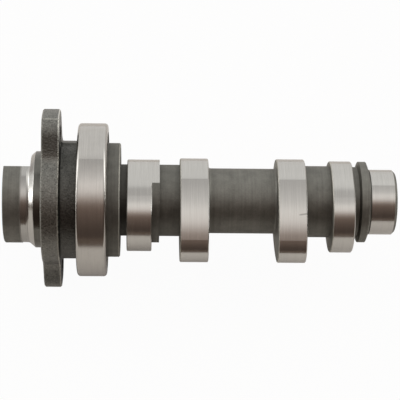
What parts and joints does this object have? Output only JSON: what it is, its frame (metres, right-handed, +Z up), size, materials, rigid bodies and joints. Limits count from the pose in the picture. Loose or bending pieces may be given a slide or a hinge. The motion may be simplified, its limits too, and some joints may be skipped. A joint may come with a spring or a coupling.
{
  "type": "camshaft",
  "caption": "Overhead camshaft with ground lobes on a dark shaft, a ball bearing, a pressed-on two-eared sprocket flange, a flatted stub at one end and a plain journal at the other.",
  "frame": {"origin": "centre of the ball bearing, on the shaft's axis", "axes": "+X along the shaft from the sprocket end to the end journal, +Z up from the table it lies on"},
  "size_m": [0.1195, 0.047, 0.0508],
  "materials": {
    "camshaft_steel": "ground lobes and journal, dark unground shaft",
    "cast_flange": "grainy as cast, machined faces",
    "bearing_steel": "fine ground",
    "ball_steel": "polished",
    "cage_steel": "pressed sheet"
  },
  "bodies": {
    "shaft": {"camshaft": "camshaft_steel", "sprocket_flange": "cast_flange", "inner_ring": "bearing_steel"},
    "outer_race": {"outer_ring": "bearing_steel"},
    "ball_set": {"cage_sprocket_side": "cage_steel", "cage_lobe_side": "cage_steel", "cage_rivets": "cage_steel", "bearing_balls": "ball_steel"}
  },
  "joints": [
    {"name": "outer_ring_turn", "type": "hinge", "parent": "shaft", "child": "outer_race", "pos_m": [0, 0, 0], "axis": [1, 0, 0], "continuous": true},
    {"name": "ball_set_turn", "type": "hinge", "parent": "shaft", "child": "ball_set", "pos_m": [0, 0, 0], "axis": [1, 0, 0], "continuous": true}
  ],
  "couplings": [
    {"joint": "ball_set_turn", "follows": "outer_ring_turn", "ratio": 0.5618}
  ]
}
